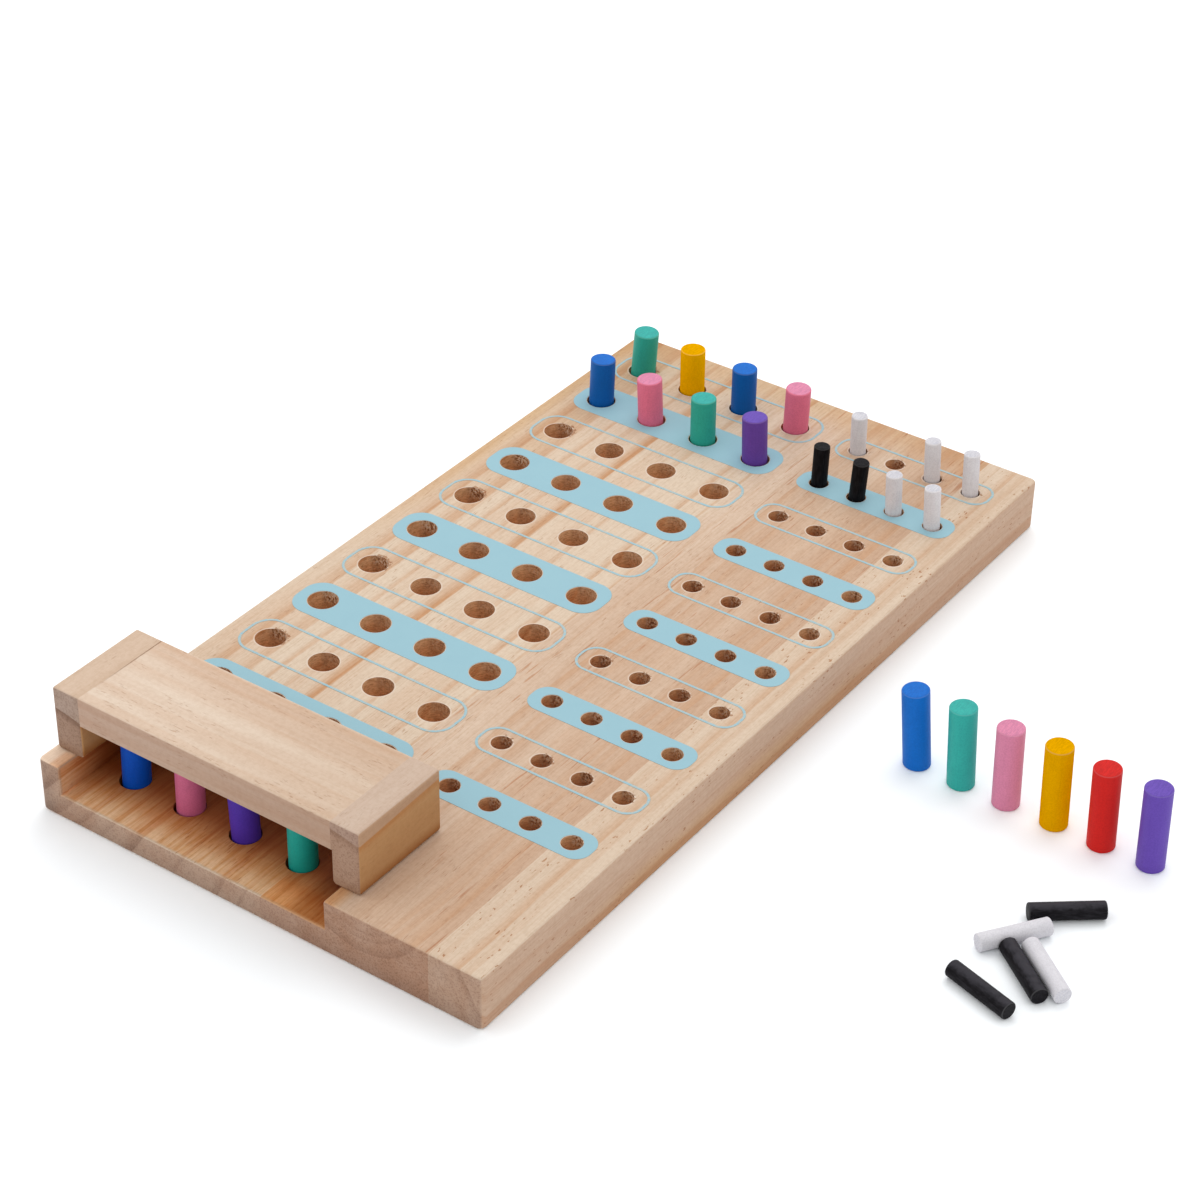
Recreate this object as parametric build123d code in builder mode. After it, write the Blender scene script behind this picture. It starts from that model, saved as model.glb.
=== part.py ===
from build123d import *

import os
from math import cos, hypot, radians, sin

# Wooden code-breaking peg game: a drilled board, a hood over the hidden code, and its pegs.
# Millimetres, +Z up. The origin is the centre of the board's underside. +Y runs away from the
# code end, towards row 1, and +X runs from the guess holes to the key holes.

# How near an edge has to lie to a plane to count as lying on it
ON_PLANE = 0.01

# Board blank, glued up from three staves
BOARD_W = 158.0
BOARD_L = 300.0
BOARD_T = 18.0
BOARD_EDGE_R = 1.0
BOARD_CORNER_R = 2.2
LEFT_JOINT_X = 3.2
RIGHT_JOINT_X = 61.4

# Rows of peg holes, row 1 at the far end
ROWS = 10
COLUMNS = 4
ROW_PITCH = 24.5
ROW_1_Y = 129.9

# Guess holes and pegs, the larger size
GUESS_PITCH = 20.67
GUESS_MID_X = -32.9
GUESS_HOLE_D = 9.5
GUESS_HOLE_DEPTH = 12.0
GUESS_PEG_D = 8.4
GUESS_PEG_L = 27.6

# Key holes and pegs, the smaller size
KEY_PITCH = 14.15
KEY_MID_X = 43.87
KEY_HOLE_D = 6.3
KEY_HOLE_DEPTH = 8.0
KEY_PEG_D = 5.3
KEY_PEG_L = 22.0

PEG_EDGE_R = 0.5

# Recess at the near end, where the code stands
RECESS_LEFT_X = -71.0
RECESS_RIGHT_X = 25.8
RECESS_DEPTH = 9.9
RECESS_LENGTH = 35.0
RECESS_EDGE_R = 0.6
CODE_MID_X = -27.9
CODE_Y = -131.8
CODE_HOLE_DEPTH = 7.0

# Hood over the code: a top glued between two end blocks
HOOD_W = 110.6
HOOD_D = 35.2
HOOD_H = 21.4
HOOD_MID_X = -22.35
HOOD_FRONT_Y = -142.7
HOOD_BLOCK_W = 9.8
HOOD_TOP_T = 9.6
HOOD_EDGE_R = 0.8
HOOD_FOOT_R = 1.4

# Painted bands, one behind each row of four holes
PAINT_T = 0.1
PAINT_HOLE_MARGIN = 0.2
OUTLINE_W = 0.8
GUESS_BAND = (79.0, 17.0, 6.5)
KEY_BAND = (56.5, 12.0, 5.0)

# Pegs in play: colour, and how far the loose fit lets the tip lean in X and Y
GUESS_PEGS = {
    1: [("green", 1.5, -0.1), ("yellow", -0.3, 0.1), ("blue", 0.0, -0.1), ("pink", 0.9, -0.6)],
    2: [("blue", 0.0, 0.8), ("pink", -0.9, -0.5), ("green", -0.4, 0.2), ("purple", -1.0, 0.1)],
}
KEY_PEGS = {
    1: [("white", 0.1, -0.7), None, ("white", -0.9, 0.1), ("white", -1.0, 0.8)],
    2: [("black", 0.1, 0.6), ("black", 1.3, -0.4), ("white", -0.7, -0.3), ("white", -0.9, 0.0)],
}
CODE_PEGS = [("blue", 0.6, 0.4), ("pink", 0.3, 0.2), ("purple", -0.6, -0.4), ("green", 0.1, 0.0)]
CODE_SHIFT = (0.25, 0.15)

# Spare guess pegs, standing in a row on the table beside the board. They are sawn a little
# unevenly: colour, place of the foot, how far the tip leans in X and Y, and length
SPARE_GUESS_PEGS = [
    ("blue", 112.8, 17.2, -1.9, -1.3, 27.2),
    ("green", 127.9, 16.7, -1.2, -0.8, 27.9),
    ("pink", 143.0, 16.4, -0.7, -0.5, 27.5),
    ("yellow", 158.7, 16.3, -0.8, -0.6, 28.3),
    ("red", 174.1, 15.9, -0.8, -0.6, 27.7),
    ("purple", 189.6, 16.1, -0.6, -0.4, 27.8),
]

# Spare key pegs, lying on the table: colour, middle, and heading from +X in degrees
SPARE_KEY_PEGS = [
    ("black_1", 181.2, -18.3, 38.4),
    ("white_1", 174.1, -35.6, 54.8),
    ("black_2", 183.3, -46.9, -37.7),
    ("white_2", 188.2, -43.1, -37.7),
    ("black_3", 177.6, -60.4, -16.1),
]


def columns_x(mid_x, pitch):
    """X of the four columns around their middle."""
    return [mid_x + (i - (COLUMNS - 1) / 2) * pitch for i in range(COLUMNS)]


def row_y(row):
    return ROW_1_Y - (row - 1) * ROW_PITCH


def grid(mid_x, pitch):
    """Every hole centre of one size on the board's top."""
    return [(x, row_y(row)) for row in range(1, ROWS + 1) for x in columns_x(mid_x, pitch)]


def save(piece, name):
    piece.part.label = name
    export_step(piece.part, f"parts/{name}.step")


def drilled_board():
    """The whole board with its recess and every hole, before it is parted at the glue lines."""
    floor_z = BOARD_T - RECESS_DEPTH
    near_y = -BOARD_L / 2
    with BuildPart() as board:
        with BuildSketch():
            Rectangle(BOARD_W, BOARD_L)
        extrude(amount=BOARD_T)
        fillet(board.edges().filter_by(Axis.Z), BOARD_CORNER_R)
        fillet(board.faces().filter_by(Axis.Z).edges(), BOARD_EDGE_R)

        with BuildSketch(Plane.XY.offset(floor_z)):
            with Locations((RECESS_LEFT_X, near_y)):
                Rectangle(
                    RECESS_RIGHT_X - RECESS_LEFT_X,
                    RECESS_LENGTH,
                    align=(Align.MIN, Align.MIN),
                )
            with Locations((RECESS_LEFT_X, near_y)):
                Rectangle(
                    RECESS_RIGHT_X - RECESS_LEFT_X,
                    BOARD_EDGE_R,
                    align=(Align.MIN, Align.MAX),
                )
        extrude(amount=RECESS_DEPTH, mode=Mode.SUBTRACT)
        back_y = near_y + RECESS_LENGTH
        rim = board.edges().filter_by_position(Axis.Z, BOARD_T - ON_PLANE, BOARD_T + ON_PLANE)
        walls = [
            e for e in rim
            if near_y + BOARD_EDGE_R < e.center().Y < back_y + ON_PLANE
            and RECESS_LEFT_X - ON_PLANE < e.center().X < RECESS_RIGHT_X + ON_PLANE
        ]
        fillet(walls, RECESS_EDGE_R)
        mouth = [
            e for e in board.edges().filter_by_position(Axis.Y, near_y - ON_PLANE, near_y + ON_PLANE)
            if RECESS_LEFT_X - ON_PLANE < e.center().X < RECESS_RIGHT_X + ON_PLANE
            and e.center().Z > floor_z - ON_PLANE
        ]
        fillet(mouth, RECESS_EDGE_R)

        code = [(x, CODE_Y) for x in columns_x(CODE_MID_X, GUESS_PITCH)]
        holes = [
            (grid(GUESS_MID_X, GUESS_PITCH), GUESS_HOLE_D, BOARD_T, GUESS_HOLE_DEPTH),
            (grid(KEY_MID_X, KEY_PITCH), KEY_HOLE_D, BOARD_T, KEY_HOLE_DEPTH),
            (code, GUESS_HOLE_D, floor_z, CODE_HOLE_DEPTH),
        ]
        for centres, diameter, mouth_z, depth in holes:
            with BuildSketch(Plane.XY.offset(mouth_z)):
                with Locations(*centres):
                    Circle(diameter / 2)
            extrude(amount=-depth, mode=Mode.SUBTRACT)
    return board


def stave(board, x_from, x_to):
    """The board between two glue lines."""
    with BuildPart() as piece:
        add(board.part)
        with BuildSketch():
            with Locations(((x_from + x_to) / 2, 0)):
                Rectangle(x_to - x_from, BOARD_L + BOARD_T)
        extrude(amount=BOARD_T, mode=Mode.INTERSECT)
    return piece


def board_staves():
    board = drilled_board()
    edges_x = [-BOARD_W / 2, LEFT_JOINT_X, RIGHT_JOINT_X, BOARD_W / 2]
    names = ["board_left_stave", "board_middle_stave", "board_right_stave"]
    for name, x_from, x_to in zip(names, edges_x, edges_x[1:]):
        save(stave(board, x_from, x_to), name)


def bands(band, mid_x, holes_x, hole_d, rows, outline):
    """Painted bands on the board's top, filled or as an outline, clear of the hole rims."""
    length, width, corner_r = band
    grow = OUTLINE_W / 2 if outline else 0.0
    with BuildPart() as paint:
        with BuildSketch(Plane.XY.offset(BOARD_T)):
            with Locations(*[(mid_x, row_y(row)) for row in rows]):
                RectangleRounded(length + 2 * grow, width + 2 * grow, corner_r + grow)
                if outline:
                    RectangleRounded(
                        length - 2 * grow,
                        width - 2 * grow,
                        corner_r - grow,
                        mode=Mode.SUBTRACT,
                    )
            if not outline:
                with Locations(*[(x, row_y(row)) for row in rows for x in holes_x]):
                    Circle(hole_d / 2 + PAINT_HOLE_MARGIN, mode=Mode.SUBTRACT)
        extrude(amount=PAINT_T)
    return paint


def painted_bands():
    odd_rows = range(1, ROWS + 1, 2)
    even_rows = range(2, ROWS + 1, 2)
    kinds = [
        ("guess", GUESS_BAND, GUESS_MID_X, GUESS_PITCH, GUESS_HOLE_D),
        ("key", KEY_BAND, KEY_MID_X, KEY_PITCH, KEY_HOLE_D),
    ]
    for kind, band, mid_x, pitch, hole_d in kinds:
        holes_x = columns_x(mid_x, pitch)
        save(bands(band, mid_x, holes_x, hole_d, odd_rows, True), f"{kind}_band_outlines")
        save(bands(band, mid_x, holes_x, hole_d, even_rows, False), f"{kind}_bands_filled")


def whole_hood():
    """The hood as it is sanded, after its three pieces are glued."""
    left = HOOD_MID_X - HOOD_W / 2
    right = HOOD_MID_X + HOOD_W / 2
    opening_h = HOOD_H - HOOD_TOP_T
    with BuildPart() as hood:
        with BuildSketch(Plane.XZ.offset(-HOOD_FRONT_Y)):
            with Locations((HOOD_MID_X, BOARD_T)):
                Rectangle(HOOD_W, HOOD_H, align=(Align.CENTER, Align.MIN))
                Rectangle(
                    HOOD_W - 2 * HOOD_BLOCK_W,
                    opening_h,
                    align=(Align.CENTER, Align.MIN),
                    mode=Mode.SUBTRACT,
                )
        extrude(amount=-HOOD_D)
        feet = [
            e for e in hood.edges().filter_by(Axis.Y)
            if e.center().Z < BOARD_T + ON_PLANE
        ]
        fillet(feet, HOOD_FOOT_R)
        shoulders = [
            e for e in hood.edges()
            if e.center().Z > BOARD_T + HOOD_H - ON_PLANE
            or (
                e.center().Z > BOARD_T + HOOD_FOOT_R
                and (abs(e.center().X - left) < ON_PLANE or abs(e.center().X - right) < ON_PLANE)
            )
        ]
        fillet(shoulders, HOOD_EDGE_R)
    return hood


def hood_piece(hood, x_from, x_to):
    """The hood between two of its upright joints."""
    with BuildPart() as piece:
        add(hood.part)
        with BuildSketch(Plane.XY.offset(BOARD_T)):
            with Locations(((x_from + x_to) / 2, HOOD_FRONT_Y + HOOD_D / 2)):
                Rectangle(x_to - x_from, HOOD_D)
        extrude(amount=HOOD_H, mode=Mode.INTERSECT)
    return piece


def hood_pieces():
    hood = whole_hood()
    left = HOOD_MID_X - HOOD_W / 2
    right = HOOD_MID_X + HOOD_W / 2
    save(hood_piece(hood, left, left + HOOD_BLOCK_W), "hood_left_block")
    save(hood_piece(hood, left + HOOD_BLOCK_W, right - HOOD_BLOCK_W), "hood_top")
    save(hood_piece(hood, right - HOOD_BLOCK_W, right), "hood_right_block")


def peg(foot, axis, diameter, length):
    """A dowel peg with softened ends, from the middle of its foot along its axis."""
    with BuildPart() as dowel:
        with BuildSketch(Plane(origin=foot, z_dir=axis)):
            Circle(diameter / 2)
        extrude(amount=length)
        fillet(dowel.edges().filter_by(GeomType.CIRCLE), PEG_EDGE_R)
    return dowel


def leaning_peg(x, y, mouth_z, depth, lean, diameter, length):
    """A peg that leans in its hole about the middle of the hole, its heel on the bottom."""
    middle = Vector(x, y, mouth_z - depth / 2)
    rise = length - depth / 2
    axis = Vector(lean[0], lean[1], rise).normalized()
    tilt = hypot(axis.X, axis.Y)
    foot_z = mouth_z - depth + tilt * diameter / 2
    foot = middle + axis * ((foot_z - middle.Z) / axis.Z)
    return peg(foot, axis, diameter, length)


def pegs_in_play():
    for row, pegs in GUESS_PEGS.items():
        places = zip(columns_x(GUESS_MID_X, GUESS_PITCH), pegs)
        for column, (x, (colour, *lean)) in enumerate(places, start=1):
            piece = leaning_peg(
                x, row_y(row), BOARD_T, GUESS_HOLE_DEPTH, lean, GUESS_PEG_D, GUESS_PEG_L
            )
            save(piece, f"guess_peg_r{row}_c{column}_{colour}")
    for row, pegs in KEY_PEGS.items():
        places = zip(columns_x(KEY_MID_X, KEY_PITCH), pegs)
        for column, (x, entry) in enumerate(places, start=1):
            if entry is None:
                continue
            colour, *lean = entry
            piece = leaning_peg(
                x, row_y(row), BOARD_T, KEY_HOLE_DEPTH, lean, KEY_PEG_D, KEY_PEG_L
            )
            save(piece, f"key_peg_r{row}_c{column}_{colour}")


def code_pegs():
    floor_z = BOARD_T - RECESS_DEPTH
    places = zip(columns_x(CODE_MID_X, GUESS_PITCH), CODE_PEGS)
    for column, (x, (colour, *lean)) in enumerate(places, start=1):
        piece = leaning_peg(
            x + CODE_SHIFT[0],
            CODE_Y + CODE_SHIFT[1],
            floor_z,
            CODE_HOLE_DEPTH,
            lean,
            GUESS_PEG_D,
            GUESS_PEG_L,
        )
        save(piece, f"code_peg_{column}_{colour}")


def standing_peg(x, y, lean, diameter, length):
    """A peg whose foot is sawn at a slant, so that it leans where it stands on the table."""
    axis = Vector(lean[0], lean[1], length).normalized()
    with BuildPart() as dowel:
        with BuildSketch(Plane(origin=Vector(x, y, 0) - axis * diameter, z_dir=axis)):
            Circle(diameter / 2)
        extrude(amount=diameter + length)
        split(bisect_by=Plane.XY, keep=Keep.TOP)
        ends = dowel.faces().sort_by(Axis.Z)
        fillet(ends[0].edges() + ends[-1].edges(), PEG_EDGE_R)
    return dowel


def spare_pegs():
    for colour, x, y, *lean, length in SPARE_GUESS_PEGS:
        save(standing_peg(x, y, lean, GUESS_PEG_D, length), f"spare_guess_peg_{colour}")
    for colour, x, y, heading in SPARE_KEY_PEGS:
        axis = Vector(cos(radians(heading)), sin(radians(heading)), 0)
        foot = Vector(x, y, KEY_PEG_D / 2) - axis * (KEY_PEG_L / 2)
        save(peg(foot, axis, KEY_PEG_D, KEY_PEG_L), f"spare_key_peg_{colour}")


os.makedirs("parts", exist_ok=True)
board_staves()
painted_bands()
hood_pieces()
pegs_in_play()
code_pegs()
spare_pegs()
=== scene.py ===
from math import cos, hypot, radians, sin

import bpy
from mathutils import Matrix, Vector

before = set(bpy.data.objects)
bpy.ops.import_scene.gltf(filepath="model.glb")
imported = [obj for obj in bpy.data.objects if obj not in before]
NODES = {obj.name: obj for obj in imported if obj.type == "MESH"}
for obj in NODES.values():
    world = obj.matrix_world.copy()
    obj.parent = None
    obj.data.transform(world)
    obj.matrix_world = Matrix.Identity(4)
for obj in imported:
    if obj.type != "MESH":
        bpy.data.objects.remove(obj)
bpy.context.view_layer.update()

# Wooden code-breaking peg game: finishes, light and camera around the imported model.
# Objects are in metres. Inside the materials, places and lengths are in millimetres.

MM = 1000.0


def box_mm(node):
    """The low and the high corner of a solid at rest, in millimetres of the shared frame."""
    corners = NODES[node].bound_box
    low = [MM * min(corner[axis] for corner in corners) for axis in range(3)]
    high = [MM * max(corner[axis] for corner in corners) for axis in range(3)]
    return low, high


# Camera, fitted to the grid of holes in the photograph
CAMERA_PLACE = (0.4347, -0.6127, 0.5459)
CAMERA_AZIMUTH = 34.7167
CAMERA_ELEVATION = 34.9159
CAMERA_ROLL = 1.0746
CAMERA_LENS = 90.42
CAMERA_SENSOR = 36.0

# The board's top and near end, and the hood between its end blocks, from the solids
BOARD_LOW, BOARD_HIGH = box_mm("board_left_stave")
NEAR_END_Y = BOARD_LOW[1]
BOARD_T = BOARD_HIGH[2]
HOOD_LOW, HOOD_HIGH = box_mm("hood_top")
HOOD_LEFT_JOINT_X = HOOD_LOW[0]
HOOD_RIGHT_JOINT_X = HOOD_HIGH[0]
HOOD_FRONT_Y = HOOD_LOW[1]
HOOD_BACK_Y = HOOD_HIGH[1]
HOOD_TOP_Z = HOOD_HIGH[2]

# The grid of holes and the recess, as in the part's source
ROWS = 10
COLUMNS = 4
ROW_PITCH = 24.5
ROW_1_Y = 129.9
GUESS_PITCH = 20.67
GUESS_MID_X = -32.9
GUESS_HOLE_R = 4.75
KEY_PITCH = 14.15
KEY_MID_X = 43.87
KEY_HOLE_R = 3.15
RECESS_X = (-71.0, 25.8)
RECESS_BACK_Y = -115.0

# How much brighter the studio light makes the board's top than the colour of its wood
STUDIO_LEVEL = 1.27

# Area lights besides the even white surroundings: name, place, size in metres, power in watts
LIGHTS = [
    ("key_light", (-0.18, 0.80, 1.20), 1.2, 8.0),
    ("side_light", (-0.75, -0.35, 0.70), 0.8, 1.5),
]
LIGHT_AIM = (0.05, 0.0, 0.0)
FLOOR_HALF = 4.0
FLOOR_WHITE = (249, 252, 254)


def linear(colour):
    """A colour in sRGB steps of 255 as the linear RGBA that Blender's sockets take."""
    parts = [c / 255 for c in colour]
    parts = [c / 12.92 if c <= 0.04045 else ((c + 0.055) / 1.055) ** 2.4 for c in parts]
    return (*parts, 1.0)


def as_seen(colour):
    """The surface colour that looks like this one on the board's lit top."""
    return tuple(c / STUDIO_LEVEL for c in linear(colour)[:3]) + (1.0,)


class Shader:
    """One node material, and short ways to add nodes to it. A level is a number from 0 to 1."""

    def __init__(self, name):
        self.material = bpy.data.materials.new(name)
        self.material.use_nodes = True
        self.tree = self.material.node_tree
        self.tree.nodes.clear()
        self.output = self.tree.nodes.new("ShaderNodeOutputMaterial")
        self.coordinates = self.tree.nodes.new("ShaderNodeTexCoord")

    def put(self, socket, value):
        if isinstance(value, bpy.types.NodeSocket):
            self.tree.links.new(value, socket)
        else:
            socket.default_value = value

    def math(self, operation, a, b=0.0, c=0.0):
        node = self.tree.nodes.new("ShaderNodeMath")
        node.operation = operation
        for socket, value in zip(node.inputs, (a, b, c)):
            self.put(socket, value)
        return node.outputs[0]

    def add(self, *values):
        total = values[0]
        for value in values[1:]:
            total = self.math("ADD", total, value)
        return total

    def times(self, *values):
        product = values[0]
        for value in values[1:]:
            product = self.math("MULTIPLY", product, value)
        return product

    def opposite(self, level):
        """1 where the level is 0, and 0 where it is 1."""
        return self.math("SUBTRACT", 1.0, level)

    def spread(self, level, reach):
        """A level turned into a shift of up to reach either way."""
        return self.math("MULTIPLY_ADD", level, 2 * reach, -reach)

    def length(self, a, b):
        return self.math("SQRT", self.add(self.times(a, a), self.times(b, b)))

    def vector(self, operation, a, b):
        node = self.tree.nodes.new("ShaderNodeVectorMath")
        node.operation = operation
        self.put(node.inputs[0], a)
        self.put(node.inputs[1], b)
        return node.outputs["Vector"]

    def place(self):
        """The point on the resting part, in millimetres of the shared frame."""
        return self.vector("MULTIPLY", self.coordinates.outputs["Object"], (MM, MM, MM))

    def normal(self, axis):
        return self.split(self.coordinates.outputs["Normal"])[axis]

    def facing(self, axis):
        """1 on faces that look along the axis, either way, and 0 on faces along it."""
        return self.step(self.math("ABSOLUTE", self.normal(axis)), 0.55, 0.85)

    def split(self, vector):
        node = self.tree.nodes.new("ShaderNodeSeparateXYZ")
        self.put(node.inputs[0], vector)
        return node.outputs

    def join(self, x, y, z):
        node = self.tree.nodes.new("ShaderNodeCombineXYZ")
        for socket, value in zip(node.inputs, (x, y, z)):
            self.put(socket, value)
        return node.outputs[0]

    def noise(self, place, size, detail=2.0, roughness=0.5, shift=0.0):
        """A level in grains of about size millimetres, one size or one for each axis. shift
        gives another pattern of the same kind."""
        node = self.tree.nodes.new("ShaderNodeTexNoise")
        if not isinstance(size, tuple):
            size = (size, size, size)
        scaled = self.vector("DIVIDE", place, size)
        self.put(node.inputs["Vector"], self.vector("ADD", scaled, (shift, shift, shift)))
        node.inputs["Scale"].default_value = 1.0
        node.inputs["Detail"].default_value = detail
        node.inputs["Roughness"].default_value = roughness
        return node.outputs["Fac"]

    def step(self, value, start, end):
        """0 up to start and 1 from end on, with a smooth change between. end may be the lower."""
        node = self.tree.nodes.new("ShaderNodeMapRange")
        node.interpolation_type = "SMOOTHSTEP"
        for name, v in zip(("Value", "From Min", "From Max"), (value, start, end)):
            self.put(node.inputs[name], v)
        return node.outputs["Result"]

    def within(self, value, low, high, soft):
        """1 between low and high and 0 outside them, with each edge soft to either side."""
        rise = self.step(value, low - soft, low + soft)
        fall = self.step(value, high + soft, high - soft)
        return self.times(rise, fall)

    def ramp(self, value, stops):
        """A level that follows stops, a list of (value, level), and is even outside them."""
        low, high = stops[0][0], stops[-1][0]
        node = self.tree.nodes.new("ShaderNodeValToRGB")
        node.color_ramp.interpolation = "EASE"
        self.put(node.inputs["Fac"], self.math("DIVIDE", self.add(value, -low), high - low))
        elements = node.color_ramp.elements
        elements.remove(elements[1])
        for i, (place, level) in enumerate(stops):
            position = (place - low) / (high - low)
            element = elements[0] if i == 0 else elements.new(position)
            element.position = position
            element.color = (level, level, level, 1)
        return node.outputs["Color"]

    def mix(self, factor, a, b, blend="MIX"):
        """Colour a turned towards colour b."""
        node = self.tree.nodes.new("ShaderNodeMix")
        node.data_type = "RGBA"
        node.blend_type = blend
        node.clamp_factor = True
        # The node has sockets for every kind of data, and these are the ones for colours
        self.put(node.inputs[0], factor)
        self.put(node.inputs[6], a)
        self.put(node.inputs[7], b)
        return node.outputs[2]

    def tint(self, factor, colour, tint):
        """The colour with its red, green and blue scaled by the tint's, as far as factor says."""
        return self.mix(factor, colour, (*tint, 1), "MULTIPLY")

    def finish(self, colour, roughness, specular, height=None, depth=0.0):
        """The shader itself. height is a level and depth its relief in millimetres."""
        shader = self.tree.nodes.new("ShaderNodeBsdfPrincipled")
        self.put(shader.inputs["Base Color"], colour)
        self.put(shader.inputs["Roughness"], roughness)
        shader.inputs["Specular IOR Level"].default_value = specular
        if height is not None:
            bump = self.tree.nodes.new("ShaderNodeBump")
            bump.inputs["Distance"].default_value = depth / MM
            self.put(bump.inputs["Height"], height)
            self.tree.links.new(bump.outputs[0], shader.inputs["Normal"])
        self.tree.links.new(shader.outputs[0], self.output.inputs["Surface"])
        return self.material


# Wood

WOOD_SPECULAR = 0.15
WOOD_RELIEF = 0.03

# Growth rings, in millimetres: the dark side's sharp edge, the least room between two rings,
# and the pale wood inside the first
RING_EDGE = 0.5
RING_GAP = 0.05
RING_START = 8.0

LATEWOOD = (204, 154, 112)
FINE_LINES = (0.93, 0.89, 0.85)
FIBRES = (0.88, 0.84, 0.80)
MOTTLING = (0.95, 0.935, 0.92)
RESIN_FLECKS = (0.68, 0.49, 0.36)
BROWN_VEINS = (0.82, 0.64, 0.53)
END_GRAIN = (0.71, 0.60, 0.565)
END_RINGS = (0.66, 0.59, 0.56)
END_PORES = (0.78, 0.74, 0.72)


class Grain:
    """The directions of one piece of wood: along its grain, across it and up."""

    def __init__(self, s, along, across, up):
        self.s = s
        self.along = along
        self.across = across
        self.up = up

    def noise(self, width, length, detail=2.0, roughness=0.5, shift=0.0):
        """Noise drawn out along the grain, with both sizes in millimetres."""
        place = self.s.join(self.across, self.along, self.up)
        return self.s.noise(place, (width, length, width), detail, roughness, shift)


def ring_radius(g, look):
    """How far a point is from the pith line, with the unevenness of a real tree."""
    s = g.s
    pith_across, pith_up = look["pith"]
    bend = s.spread(g.noise(60.0, 75.0, detail=1.0), look["wander"])
    ripple = s.spread(g.noise(14.0, 24.0, detail=1.0), 0.35)
    return s.length(s.add(g.across, bend, ripple, -pith_across), s.add(g.up, -pith_up))


def ring_through(across, up, look):
    """The radius of the growth ring that passes through a point."""
    pith_across, pith_up = look["pith"]
    return hypot(across - pith_across, up - pith_up)


def latewood(g, radius, level, look):
    """How much dark latewood a point has. Each ring darkens slowly outwards and ends sharply."""
    s = g.s
    rings = sorted(
        (ring_through(place, level, look), strength, width)
        for place, strength, width in look["rings"]
    )
    stops = [(rings[0][0] - RING_START, 0.0)]
    for ring, strength, width in rings:
        start = max(ring - width, stops[-1][0] + RING_GAP)
        stops += [(start, 0.0), (ring, strength), (ring + RING_EDGE, 0.0)]
    life = g.noise(16.0, 90.0)
    feather = g.noise(0.8, 30.0, shift=5.0)
    return s.times(
        s.ramp(radius, stops),
        s.math("MULTIPLY_ADD", life, 1.0, 0.5),
        s.math("MULTIPLY_ADD", feather, 1.0, 0.5),
    )


def wood(g, place, level, look, end_axis):
    """Sanded pine. Returns its colour and its relief. Its rings are given at a level, and its
    sawn ends look along end_axis."""
    s = g.s
    ends = s.facing(end_axis)
    long_side = s.opposite(ends)
    lined = look["lines"]

    broad = s.spread(g.noise(7.0, 100.0), 1.0)
    sway = s.spread(g.noise(30.0, 60.0, detail=1.0, shift=2.0), 1.5)
    tone = s.ramp(s.add(g.across, sway), look["tones"])
    colour = s.mix(s.add(tone, broad), as_seen(look["pale"]), as_seen(look["tint"]))

    late = latewood(g, ring_radius(g, look), level, look)
    colour = s.mix(s.times(late, long_side), colour, as_seen(LATEWOOD))

    line = s.step(g.noise(0.75, 38.0, shift=9.0), 0.46, 0.70)
    fibre = g.noise(0.30, 5.0, detail=3.0, roughness=0.6)
    mottle = s.noise(place, 1.3, detail=3.0, roughness=0.65)
    colour = s.tint(s.times(line, long_side, lined), colour, FINE_LINES)
    colour = s.tint(s.times(s.step(fibre, 0.44, 0.72), long_side, lined), colour, FIBRES)
    colour = s.tint(s.step(mottle, 0.40, 0.64), colour, MOTTLING)

    canal = g.noise(*look["fleck_size"], detail=1.0, shift=7.0)
    patch = g.noise(8.0, 26.0, detail=1.0, shift=3.0)
    fleck = s.times(s.step(canal, 0.67, 0.72), s.step(patch, 0.46, 0.58), long_side)
    colour = s.tint(s.times(fleck, look["flecks"]), colour, RESIN_FLECKS)
    relief = s.add(fibre, s.times(fleck, -1.5), s.times(late, 0.4))
    if look.get("veins"):
        vein = g.noise(0.8, 17.0, detail=1.0, shift=11.0)
        veined = g.noise(11.0, 40.0, detail=1.0, shift=13.0)
        vein = s.times(s.step(vein, 0.64, 0.70), s.step(veined, 0.48, 0.56), long_side)
        colour = s.tint(vein, colour, BROWN_VEINS)

    pores = s.noise(place, 0.55, roughness=0.7)
    colour = s.tint(ends, colour, END_GRAIN)
    colour = s.tint(s.times(ends, late), colour, END_RINGS)
    colour = s.tint(s.times(ends, s.step(pores, 0.46, 0.64)), colour, END_PORES)
    return colour, relief


# Board

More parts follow.
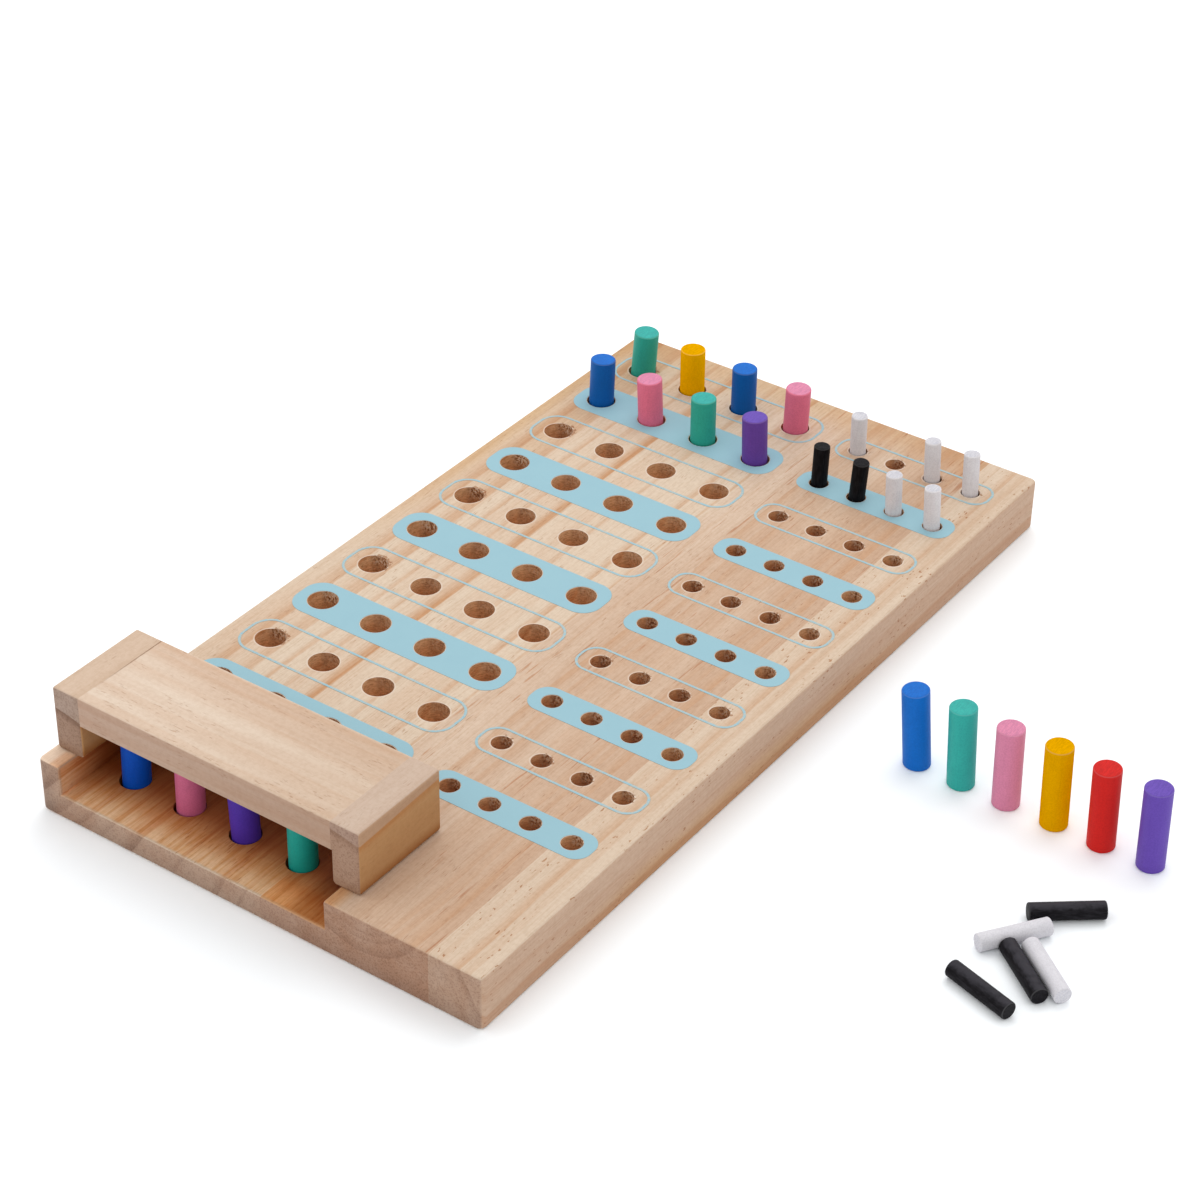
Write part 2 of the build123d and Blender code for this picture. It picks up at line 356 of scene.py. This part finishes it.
# A look's colours run from pale to tint, by its tones: (place across the wood, level).
# Its growth rings are (place across where one meets the surface, strength, width of the side
# that darkens slowly), around its pith line at (across, up), from which they wander.
# Lines and flecks are strengths, and a fleck's size is (width, length).
# A strip is (low x, high x, soft edge, y where it starts, y where it is full, tint).
LEFT_STAVE = {
    "pale": (227, 206, 183),
    "tint": (219, 187, 159),
    "tones": [
        (-79, 0.1),
        (-73, 0.3),
        (-62, 0.3),
        (-56, 0.05),
        (-42, 0.2),
        (-30, 0.1),
        (3, 0.1),
    ],
    "strips": [
        (-90.0, -74.0, 3.5, -32.0, 60.0, (0.91, 0.76, 0.58)),
        (-72.0, -60.0, 3.0, 10.0, 90.0, (0.92, 0.84, 0.75)),
        (-90.0, -66.0, 5.0, 85.0, 125.0, (0.95, 0.91, 0.86)),
        (-90.0, 10.0, 1.0, 130.0, 148.0, (0.92, 0.83, 0.70)),
        # Painted light where the hood's shadow falls on the top in front of its left block
        (-90.0, -74.2, 1.0, -141.0, -144.0, (1.30, 1.28, 1.30)),
        (-74.2, -70.5, 1.0, -141.0, -144.0, (1.18, 0.94, 0.79)),
    ],
    "pith": (-143.0, 73.0),
    "rings": [
        (-68.3, 0.70, 4.5),
        (-58.7, 0.50, 5.5),
        (-51.6, 0.50, 2.2),
        (-44.2, 0.35, 2.5),
        (-34.6, 0.90, 4.4),
        (-20.0, 0.40, 2.2),
        (-5.0, 0.60, 3.2),
        (2.6, 0.50, 1.2),
    ],
    "wander": 1.6,
    "lines": 0.9,
    "flecks": 0.8,
    "fleck_size": (0.36, 4.5),
}
MIDDLE_STAVE = {
    "pale": (224, 199, 176),
    "tint": (208, 173, 145),
    "tones": [
        (3, 0.1),
        (9, 0.15),
        (14, 0.3),
        (19, 0.6),
        (28, 0.6),
        (44, 0.65),
        (53, 0.95),
        (61, 0.95),
    ],
    "strips": [
        (-10.0, 70.0, 1.0, 130.0, 148.0, (0.92, 0.81, 0.66)),
        (0.0, 30.0, 2.5, -136.0, -143.0, (1.02, 0.80, 0.56)),
    ],
    "pith": (38.0, 30.0),
    "rings": [
        (35.5, 0.15, 2.0),
        (27.5, 0.25, 2.0),
        (51.8, 0.25, 2.0),
        (18.6, 0.40, 3.0),
        (57.0, 0.45, 3.5),
        (9.0, 0.15, 2.0),
    ],
    "wander": 3.2,
    "lines": 0.9,
    "flecks": 0.9,
    "fleck_size": (0.36, 5.0),
    "veins": True,
}
RIGHT_STAVE = {
    "pale": (225, 203, 180),
    "tint": (216, 187, 160),
    "tones": [(61, 0.3), (66, 0.1), (70, 0.3), (73.5, 0.6), (76.5, 0.1), (79, 0.1)],
    "pith": (-41.0, -52.0),
    "rings": [
        (65.5, 0.15, 2.0),
        (71.6, 0.45, 3.2),
        (75.2, 0.15, 2.0),
    ],
    "wander": 1.6,
    "lines": 0.8,
    "flecks": 1.3,
    "fleck_size": (0.70, 2.1),
}
BOARD_ROUGHNESS = 0.62

# Holes: the pale eased rim and its painted highlight, the wall with painted light, and tool marks
# The rim's pale wood with a painted highlight
HOLE_RIM_AND_HIGHLIGHT = (235, 220, 205)
# The wall's warm drilled wood with painted light, and more painted light deeper down
HOLE_WALL_AND_LIGHT = (1.36, 1.19, 0.92)
DEEP_WALL_LIGHT = (1.25, 1.22, 1.15)
TOOL_MARKS = (0.76, 0.69, 0.62)

# The side of each hole that the drill tore: which way from the middle it lies, and its looks
TORN_WAY = (0.55, 0.83)
RIM_CHIPS = (0.62, 0.45, 0.34)
TORN_FIBRES = (232, 210, 186)
# Painted shade between the torn fibres
TORN_GAP_SHADE = (0.42, 0.34, 0.28)

# The board's long edges and its ends: all over, at the foot, and at the ends' left corner
# The long edges' warmer wood is darkened by painted shade, and the feet by painted shade
LONG_EDGE_WOOD_AND_SHADE = (0.865, 0.755, 0.71)
LONG_EDGE_FOOT_SHADE = (0.97, 0.86, 0.68)
END_CORNER = (0.78, 0.78, 0.80)
END_FOOT_SHADE = (0.82, 0.81, 0.82)

# Recess: all of it, painted shade further in, under the hood and by the right block, rough fibres
RECESS = (1.30, 1.08, 0.84)
RECESS_FURTHER_IN_SHADE = (0.80, 0.60, 0.425)
RECESS_UNDER_HOOD_SHADE = (0.47, 0.26, 0.14)
RECESS_BLOCK_SHADOW = (0.68, 0.58, 0.45)
RECESS_FIBRES = (0.86, 0.70, 0.52)


def near_hole(s, x, y, mid_x, pitch, radius):
    """How far a point is outside the nearest hole of one grid, how much it lies on the hole's
    torn side, from -1 to 1, and that hole's column."""
    first_x = mid_x - (COLUMNS - 1) / 2 * pitch
    column = s.math("ROUND", s.math("DIVIDE", s.add(x, -first_x), pitch))
    column = s.math("MINIMUM", s.math("MAXIMUM", column, 0.0), COLUMNS - 1.0)
    row = s.math("ROUND", s.math("DIVIDE", s.math("SUBTRACT", ROW_1_Y, y), ROW_PITCH))
    row = s.math("MINIMUM", s.math("MAXIMUM", row, 0.0), ROWS - 1.0)
    across = s.math("SUBTRACT", x, s.math("MULTIPLY_ADD", column, pitch, first_x))
    along = s.add(y, s.math("MULTIPLY_ADD", row, ROW_PITCH, -ROW_1_Y))
    reach = s.length(across, along)
    towards = s.add(s.times(across, TORN_WAY[0]), s.times(along, TORN_WAY[1]))
    return s.add(reach, -radius), s.math("DIVIDE", towards, reach), column


def drilled(s, place, colour, relief):
    """The holes' walls, pale eased rims and torn fibres, with painted light, highlight and shade.
    """
    x, y, z = s.split(place)
    guess, guess_torn, guess_column = near_hole(s, x, y, GUESS_MID_X, GUESS_PITCH, GUESS_HOLE_R)
    key, key_torn, _ = near_hole(s, x, y, KEY_MID_X, KEY_PITCH, KEY_HOLE_R)
    by_key = s.math("LESS_THAN", key, guess)
    by_guess = s.opposite(by_key)
    outside = s.math("MINIMUM", guess, key)
    # The first column of guess holes is torn the most
    tearing = s.add(s.step(guess_column, 0.6, 0.4), 0.4)
    torn = s.add(
        s.times(s.step(key_torn, 0.0, 0.8), by_key),
        s.times(s.step(guess_torn, 0.0, 0.8), by_guess, tearing),
    )

    on_top = s.step(z, BOARD_T - 0.10, BOARD_T - 0.02)
    rim = s.times(on_top, s.within(outside, 0.0, 0.40, 0.12))
    # Painted highlight on the pale eased rim
    colour = s.mix(s.times(rim, 0.5), colour, as_seen(HOLE_RIM_AND_HIGHLIGHT))
    ragged = s.noise(place, (0.9, 1.4, 0.9), roughness=0.6)
    chip = s.step(s.add(ragged, s.times(outside, -0.22), s.times(torn, 0.30)), 0.74, 0.80)
    chip = s.times(chip, s.step(torn, 0.05, 0.25), s.step(outside, 1.6, 1.0))
    colour = s.tint(s.times(chip, on_top), colour, RIM_CHIPS)

    wall = s.times(s.opposite(on_top), s.step(outside, 0.25, 0.15))
    tool_marks = s.noise(place, (1.6, 1.6, 0.34), detail=3.0, roughness=0.65)
    depth = s.step(z, BOARD_T, BOARD_T - 7.0)
    # Painted light on the wall, and more painted light deeper down
    colour = s.tint(wall, colour, HOLE_WALL_AND_LIGHT)
    colour = s.tint(s.times(wall, depth), colour, DEEP_WALL_LIGHT)
    colour = s.tint(s.times(wall, s.step(tool_marks, 0.46, 0.60)), colour, TOOL_MARKS)
    loose = s.noise(place, (0.7, 0.7, 1.0), roughness=0.6, shift=4.0)
    near_top = s.step(z, BOARD_T - 5.0, BOARD_T - 2.0)
    fibres = s.times(wall, torn, s.step(loose, 0.52, 0.58), near_top)
    colour = s.mix(s.times(fibres, 0.65), colour, as_seen(TORN_FIBRES))
    # Painted shade between the torn fibres
    gap_shade = s.times(wall, torn, s.step(loose, 0.47, 0.40), near_top)
    colour = s.tint(gap_shade, colour, TORN_GAP_SHADE)
    return colour, s.add(relief, s.times(wall, tool_marks, 3.0), s.times(chip, -3.0))


def edge_tones(s, place, colour):
    """The board's long edges and its ends, with painted shade, which darkens them towards the
    table.
    """
    x, y, z = s.split(place)
    on_edge, on_end = s.facing(0), s.facing(1)
    wave = s.spread(s.noise(place, 45.0, detail=1.0, shift=6.0), 3.0)
    foot = s.step(s.add(z, wave), 10.0, 3.0)
    middle = s.within(y, -105.0, 55.0, 40.0)
    corner = s.step(x, -70.0, -77.0)
    # Painted shade over the long edges' warmer wood, and at their foot
    colour = s.tint(on_edge, colour, LONG_EDGE_WOOD_AND_SHADE)
    colour = s.tint(s.times(on_edge, foot, middle), colour, LONG_EDGE_FOOT_SHADE)
    colour = s.tint(s.times(on_end, corner), colour, END_CORNER)
    # Painted shade on the ends towards the table
    return s.tint(s.times(on_end, s.step(z, 9.0, 0.0)), colour, END_FOOT_SHADE)


def recess_tones(s, g, place, colour):
    """Inside the recess the wood is rough and orange, and painted shade darkens it quickly
    inwards.
    """
    x, y, z = s.split(place)
    inside = s.times(
        s.within(x, RECESS_X[0] - 0.3, RECESS_X[1] + 0.3, 0.2),
        s.step(y, RECESS_BACK_Y + 0.3, RECESS_BACK_Y - 0.3),
        s.step(y, NEAR_END_Y + 0.2, NEAR_END_Y + 1.5),
        s.step(z, BOARD_T - 0.4, BOARD_T - 1.2),
    )
    further_in_shade = s.step(y, NEAR_END_Y + 2.5, NEAR_END_Y + 10.5)
    under_hood_shade = s.step(y, NEAR_END_Y + 7.0, NEAR_END_Y + 20.0)
    block_shadow = s.step(x, 10.0, 15.0)
    rough = s.step(g.noise(1.1, 24.0, roughness=0.6, shift=15.0), 0.42, 0.66)
    colour = s.tint(inside, colour, RECESS)
    # Painted shade further in and under the hood
    colour = s.tint(s.times(inside, further_in_shade), colour, RECESS_FURTHER_IN_SHADE)
    colour = s.tint(s.times(inside, under_hood_shade), colour, RECESS_UNDER_HOOD_SHADE)
    # Painted shadow of the right block beside it
    colour = s.tint(s.times(inside, block_shadow), colour, RECESS_BLOCK_SHADOW)
    return s.tint(s.times(inside, rough), colour, RECESS_FIBRES)


def stave(name, look):
    """Pine with its grain along the board, its holes, and its part of the recess."""
    s = Shader(name)
    place = s.place()
    x, y, z = s.split(place)
    g = Grain(s, y, x, z)
    colour, relief = wood(g, place, BOARD_T, look, 1)
    for low, high, soft, start, full, tint in look.get("strips", []):
        strip = s.times(s.within(x, low, high, soft), s.step(y, start, full), s.facing(2))
        colour = s.tint(strip, colour, tint)
    colour = edge_tones(s, place, colour)
    colour = recess_tones(s, g, place, colour)
    colour, relief = drilled(s, place, colour, relief)
    return s.finish(colour, BOARD_ROUGHNESS, WOOD_SPECULAR, relief, WOOD_RELIEF)


# Hood

# A block's front has one tint above its growth ring and another below it
HOOD_TOP = {
    "pale": (234, 214, 194),
    "tint": (220, 191, 167),
    "tones": [(-143, 0.35), (-138, 0.15), (-131, 0.2), (-124, 0.35), (-116, 0.65), (-107, 0.7)],
    "pith": (-300.0, 260.0),
    "rings": [
        (-139.5, 0.12, 3.0),
        (-132.0, 0.16, 3.5),
        (-120.5, 0.16, 2.5),
        (-113.0, 0.14, 2.5),
        (-108.8, 0.30, 2.0),
    ],
    "wander": 2.5,
    "lines": 0.35,
    "flecks": 0.55,
    "fleck_size": (0.36, 3.2),
}
HOOD_LEFT = {
    "pale": (221, 195, 172),
    "tint": (211, 182, 156),
    "tones": [(-78, 0.4), (-74, 0.2), (-68, 0.5)],
    "pith": (-92.0, -60.0),
    "rings": [(-73.0, 0.9, 3.0)],
    "ring_level": 31.5,
    "front_above": (0.90, 1.02, 1.14),
    "front_below": (0.79, 0.79, 0.79),
    "wander": 3.0,
    "lines": 0.35,
    "flecks": 0.4,
    "fleck_size": (0.34, 4.0),
}
HOOD_RIGHT = {
    "pale": (214, 191, 172),
    "tint": (204, 176, 155),
    "tones": [(23, 0.3), (28, 0.2), (33, 0.5)],
    "pith": (9.0, -60.0),
    "rings": [(28.0, 0.5, 3.0)],
    "ring_level": 36.1,
    "front_above": (0.97, 1.0, 1.02),
    "front_below": (0.93, 0.89, 0.82),
    "wander": 3.0,
    "lines": 0.35,
    "flecks": 0.4,
    "fleck_size": (0.34, 4.0),
}
HOOD_ROUGHNESS = 0.60

# The top darkens towards its right end, and its front has painted shade
TOP_RIGHT_END = (0.90, 0.865, 0.83)
TOP_FRONT_SHADE = (0.735, 0.64, 0.61)
GLUE_LINE = (0.45, 0.36, 0.30)

# A block's sides all over, below its growth ring and at the foot, and the foot of its front
# The sides' warmer wood with painted shade
BLOCK_SIDE_WOOD_AND_SHADE = (0.86, 0.72, 0.58)
BLOCK_SIDE_BELOW = (0.99, 0.86, 0.60)
# Painted shade at the foot of the sides and of the front
BLOCK_SIDE_FOOT_SHADE = (0.69, 0.48, 0.30)
BLOCK_FRONT_FOOT_SHADE = (0.90, 0.84, 0.77)

# How steeply a block's growth ring rises towards the back
RING_RISE = 0.045


def hood_top_pine(name, look):
    """Pine with its grain across the board, and a thin dark line of glue at the left joint."""
    s = Shader(name)
    place = s.place()
    x, y, z = s.split(place)
    colour, relief = wood(Grain(s, x, y, z), place, HOOD_TOP_Z, look, 0)
    colour = s.tint(s.step(x, HOOD_LEFT_JOINT_X, HOOD_RIGHT_JOINT_X), colour, TOP_RIGHT_END)
    # Painted shade on the top's front
    colour = s.tint(s.facing(1), colour, TOP_FRONT_SHADE)
    ragged = s.spread(s.noise(place, 1.2), 0.12)
    line = s.step(s.add(x, ragged), HOOD_LEFT_JOINT_X + 0.55, HOOD_LEFT_JOINT_X + 0.15)
    fading = s.step(y, HOOD_BACK_Y - 34.0, HOOD_BACK_Y - 8.0)
    colour = s.tint(s.times(line, fading), colour, GLUE_LINE)
    return s.finish(colour, HOOD_ROUGHNESS, WOOD_SPECULAR, relief, WOOD_RELIEF)


def hood_block_pine(name, look):
    """Pine of a block under the hood's end: pale above one growth ring, and darker below it."""
    s = Shader(name)
    place = s.place()
    x, y, z = s.split(place)
    slope = s.times(s.math("SUBTRACT", HOOD_FRONT_Y, y), RING_RISE)
    grain = Grain(s, y, x, s.add(z, slope))
    level = look["ring_level"]
    colour, relief = wood(grain, place, level, look, 1)
    ring = ring_through(look["rings"][0][0], level, look)
    below = s.step(ring_radius(grain, look), ring + 0.3, ring - 0.1)
    beside, in_front = s.facing(0), s.facing(1)
    side_foot_shade = s.step(z, BOARD_T + 5.5, BOARD_T + 0.5)
    front_foot_shade = s.step(z, BOARD_T + 5.0, BOARD_T)
    front_change = [low / high for low, high in zip(look["front_below"], look["front_above"])]
    # The sides: warmer wood with painted shade
    colour = s.tint(beside, colour, BLOCK_SIDE_WOOD_AND_SHADE)
    colour = s.tint(s.times(below, beside), colour, BLOCK_SIDE_BELOW)
    # Painted shade at the foot of the sides
    colour = s.tint(s.times(beside, side_foot_shade), colour, BLOCK_SIDE_FOOT_SHADE)
    colour = s.tint(in_front, colour, look["front_above"])
    colour = s.tint(s.times(below, in_front), colour, front_change)
    # Painted shade at the foot of the front
    colour = s.tint(s.times(in_front, front_foot_shade), colour, BLOCK_FRONT_FOOT_SHADE)
    return s.finish(colour, HOOD_ROUGHNESS, WOOD_SPECULAR, relief, WOOD_RELIEF)


# Paint

# Colour in sRGB steps of 255, and how glossy the paint is
PAINTS = {
    "blue": ((4, 100, 188), 0.12),
    "green": ((44, 162, 152), 0.16),
    "pink": ((206, 124, 154), 0.20),
    "purple": ((98, 69, 166), 0.15),
    "yellow": ((214, 154, 0), 0.0),
    "red": ((200, 35, 31), 0.06),
    "white": ((209, 207, 211), 0.0),
    "black": ((16, 14, 17), 0.06),
}
DOWEL_ROUGHNESS = 0.50
DOWEL_RELIEF = 0.02

# Painted light and shade: how the warm light over the wood changes the sides of the pegs in play
IN_PLAY_LIGHT_AND_SHADE = {
    "blue": (0.90, 0.71, 0.69),
    "green": (0.94, 0.93, 0.80),
    "pink": (1.12, 0.74, 0.75),
    "purple": (0.96, 0.77, 0.77),
    "yellow": (1.24, 1.24, 1.0),
    "white": (1.04, 1.02, 0.99),
    "black": (0.60, 0.58, 0.56),
}

# How bright a dowel's sawn ends are beside its plain paint, and those of the key pegs in play
END_LEVEL = 1.06
KEY_END_LEVEL = {"white": 0.95, "black": 0.58}

# Painted shade on the code pegs: how bright their paint is, and how far its weaker parts fall
# behind
SHADE_LEVEL = 0.88
SHADE_DEPTH = 0.35

# Uneven paint on a dowel, the brushed ends, the painted highlight on its rims, and worn black
# paint
STREAKS = (0.955, 0.95, 0.96)
CLOUDS = (0.96, 0.96, 0.965)
GRIT = (0.91, 0.905, 0.91)
BRUSHED_ENDS = (0.84, 0.85, 0.88)
RIM_HIGHLIGHT = (235, 234, 236)
# Black paint's scuffs with painted sheen, and a painted highlight along a lying dowel's top
BLACK_SCUFFS_AND_SHEEN = (72, 70, 76)
BLACK_RIDGE_HIGHLIGHT = (66, 64, 70)

# The way each lying key peg points, in degrees from +X, as in the part's source
HEADINGS = {"black_1": 38.4, "white_1": 54.8, "black_2": -37.7, "white_2": -37.7, "black_3": -16.1}

BAND_BLUE = (158, 198, 210)
BAND_CLOUDS = (0.98, 0.985, 0.99)
BAND_FIBRES = (0.98, 0.985, 0.985)
BAND_WORN = (202, 198, 184)
BAND_ROUGHNESS = 0.6
BAND_SPECULAR = 0.12
BAND_RELIEF = 0.006


def band_paint(name, outline):
    """Matt screen-printed paint, thin enough for the wood's fibres to show."""
    s = Shader(name)
    place = s.place()
    fibre = s.noise(place, (0.4, 8.0, 0.4), detail=3.0, roughness=0.6)
    cloud = s.noise(place, 9.0)
    colour = s.tint(s.step(cloud, 0.35, 0.7), as_seen(BAND_BLUE), BAND_CLOUDS)
    colour = s.tint(s.step(fibre, 0.5, 0.8), colour, BAND_FIBRES)
    if outline:
        worn = s.noise(place, 0.8, detail=3.0, roughness=0.6)
        colour = s.mix(s.step(worn, 0.35, 0.80), colour, as_seen(BAND_WORN))
    return s.finish(colour, BAND_ROUGHNESS, BAND_SPECULAR, fibre, BAND_RELIEF)


def in_shade(colour):
    """Painted shade: how much deeper a paint looks among the wood and the other pegs under the
    hood.
    """
    parts = linear(PAINTS[colour][0])[:3]
    return [SHADE_LEVEL * (part / max(parts)) ** SHADE_DEPTH for part in parts]


def worn_black(s, g, place, tone, lying):
    """Black paint has scuffs and painted sheen all round, and a painted highlight on a lying
    dowel's top.
    """
    marks = g.noise(0.5, 3.0, detail=3.0, roughness=0.65, shift=8.0)
    scuffs = s.step(marks, 0.38, 0.72)
    # Scuffs, with painted sheen
    tone = s.mix(s.times(scuffs, 0.2), tone, linear(BLACK_SCUFFS_AND_SHEEN))
    if not lying:
        return tone
    # Painted highlight along the upper side of a lying dowel
    uneven = s.spread(s.noise(place, 2.0), 0.3)
    ridge_highlight = s.step(s.add(s.normal(2), uneven), 0.60, 1.05)
    return s.mix(s.times(ridge_highlight, 0.6), tone, linear(BLACK_RIDGE_HIGHLIGHT))


def dowel_paint(name, colour, heading=None, painted_side_shading=None, end_level=END_LEVEL):
    """Satin paint over a wooden dowel. heading is the way a lying dowel points, in degrees.
    The side tint scales the sides' colour as painted light and shade, and end_level its ends."""
    s = Shader(name)
    place = s.place()
    x, y, z = s.split(place)
    lying = heading is not None
    if lying:
        c, sn = cos(radians(heading)), sin(radians(heading))
        along = s.add(s.times(x, c), s.times(y, sn))
        across = s.add(s.times(x, -sn), s.times(y, c))
        g = Grain(s, along, across, z)
        facing = s.math("ABSOLUTE", s.add(s.times(s.normal(0), c), s.times(s.normal(1), sn)))
    else:
        g = Grain(s, z, x, y)
        facing = s.normal(2)
    ends = s.step(facing, 0.90, 0.97)
    rounding = s.within(facing, 0.30, 0.88, 0.10)
    streak = g.noise(0.55, 16.0, roughness=0.6)
    cloud = s.noise(place, 4.0)
    grit = s.noise(place, 0.45, roughness=0.6)
    brush = s.noise(place, (0.30, 2.4, 0.30), roughness=0.6)

    paint, gloss = PAINTS[colour]
    tone = s.tint(s.step(streak, 0.48, 0.75), linear(paint), STREAKS)
    tone = s.tint(s.step(cloud, 0.35, 0.7), tone, CLOUDS)
    tone = s.tint(s.step(grit, 0.42, 0.62), tone, GRIT)
    tone = s.tint(ends, tone, (end_level, end_level, end_level))
    tone = s.tint(s.times(ends, s.step(brush, 0.42, 0.60)), tone, BRUSHED_ENDS)
    # Painted highlight on the rounded rims
    tone = s.mix(s.times(rounding, 0.05), tone, linear(RIM_HIGHLIGHT))
    if colour == "black":
        tone = worn_black(s, g, place, tone, lying)
    # Painted light and shade on the sides of the pegs in play and of the code pegs
    if painted_side_shading is not None:
        tone = s.tint(s.opposite(ends), tone, painted_side_shading)
    relief = s.add(streak, s.times(cloud, 2.0), s.times(ends, brush, 2.0))
    return s.finish(tone, DOWEL_ROUGHNESS, gloss, relief, DOWEL_RELIEF)


# Dressing the solids


def dress(node, material):
    slots = NODES[node].data.materials
    slots.clear()
    slots.append(material)


def dress_board_and_hood():
    dress("board_left_stave", stave("pine_left", LEFT_STAVE))
    dress("board_middle_stave", stave("pine_middle", MIDDLE_STAVE))
    dress("board_right_stave", stave("pine_right", RIGHT_STAVE))
    dress("hood_top", hood_top_pine("pine_hood_top", HOOD_TOP))
    dress("hood_left_block", hood_block_pine("pine_hood_left", HOOD_LEFT))
    dress("hood_right_block", hood_block_pine("pine_hood_right", HOOD_RIGHT))
    filled = band_paint("band_filled", False)
    outline = band_paint("band_outline", True)
    for kind in ("guess", "key"):
        dress(f"{kind}_bands_filled", filled)
        dress(f"{kind}_band_outlines", outline)


def peg_look(node, colour):
    """The name of a peg's paint, and what sets it apart."""
    lying = node.removeprefix("spare_key_peg_")
    if lying in HEADINGS:
        return f"paint_{lying}", {"heading": HEADINGS[lying]}
    if node.startswith("spare_"):
        return f"paint_{colour}", {}
    if node.startswith("code_peg_"):
        # Painted shade on the code pegs under the hood
        return f"paint_code_{colour}", {"painted_side_shading": in_shade(colour)}
    # Painted light and shade on the sides of the pegs in play
    end_level = KEY_END_LEVEL.get(colour, END_LEVEL)
    return f"paint_play_{colour}", {"painted_side_shading": IN_PLAY_LIGHT_AND_SHADE[colour], "end_level": end_level}


def dress_pegs():
    """Every peg in its paint. Pegs that look alike share one."""
    paints = {}
    for node in NODES:
        if "_peg_" not in node:
            continue
        colour = next(c for c in PAINTS if f"_{c}" in node)
        name, look = peg_look(node, colour)
        if name not in paints:
            paints[name] = dowel_paint(name, colour, **look)
        dress(node, paints[name])


# Floor, light and camera


def floor():
    mesh = bpy.data.meshes.new("floor")
    half = FLOOR_HALF
    corners = [(-half, -half, 0), (half, -half, 0), (half, half, 0), (-half, half, 0)]
    mesh.from_pydata(corners, [], [(0, 1, 2, 3)])
    piece = bpy.data.objects.new("floor", mesh)
    bpy.context.scene.collection.objects.link(piece)
    s = Shader("floor_white")
    mesh.materials.append(s.finish(linear(FLOOR_WHITE), roughness=0.9, specular=0.1))


def light(name, place, size, power):
    lamp = bpy.data.lights.new(name, "AREA")
    lamp.shape = "SQUARE"
    lamp.size = size
    lamp.energy = power
    piece = bpy.data.objects.new(name, lamp)
    bpy.context.scene.collection.objects.link(piece)
    turn = (Vector(place) - Vector(LIGHT_AIM)).to_track_quat("Z", "Y")
    piece.matrix_world = Matrix.Translation(place) @ turn.to_matrix().to_4x4()


def studio():
    world = bpy.data.worlds.new("studio")
    bpy.context.scene.world = world
    world.use_nodes = True
    background = world.node_tree.nodes["Background"]
    background.inputs["Color"].default_value = (1, 1, 1, 1)
    background.inputs["Strength"].default_value = 1.0
    for name, place, size, power in LIGHTS:
        light(name, place, size, power)
    bpy.context.scene.view_settings.view_transform = "Standard"


def camera():
    data = bpy.data.cameras.new("camera")
    data.sensor_width = CAMERA_SENSOR
    data.lens = CAMERA_LENS
    piece = bpy.data.objects.new("camera", data)
    piece.matrix_world = (
        Matrix.Translation(CAMERA_PLACE)
        @ Matrix.Rotation(radians(CAMERA_AZIMUTH), 4, "Z")
        @ Matrix.Rotation(radians(90 - CAMERA_ELEVATION), 4, "X")
        @ Matrix.Rotation(radians(CAMERA_ROLL), 4, "Z")
    )
    bpy.context.scene.collection.objects.link(piece)
    bpy.context.scene.camera = piece


dress_board_and_hood()
dress_pegs()
floor()
studio()
camera()
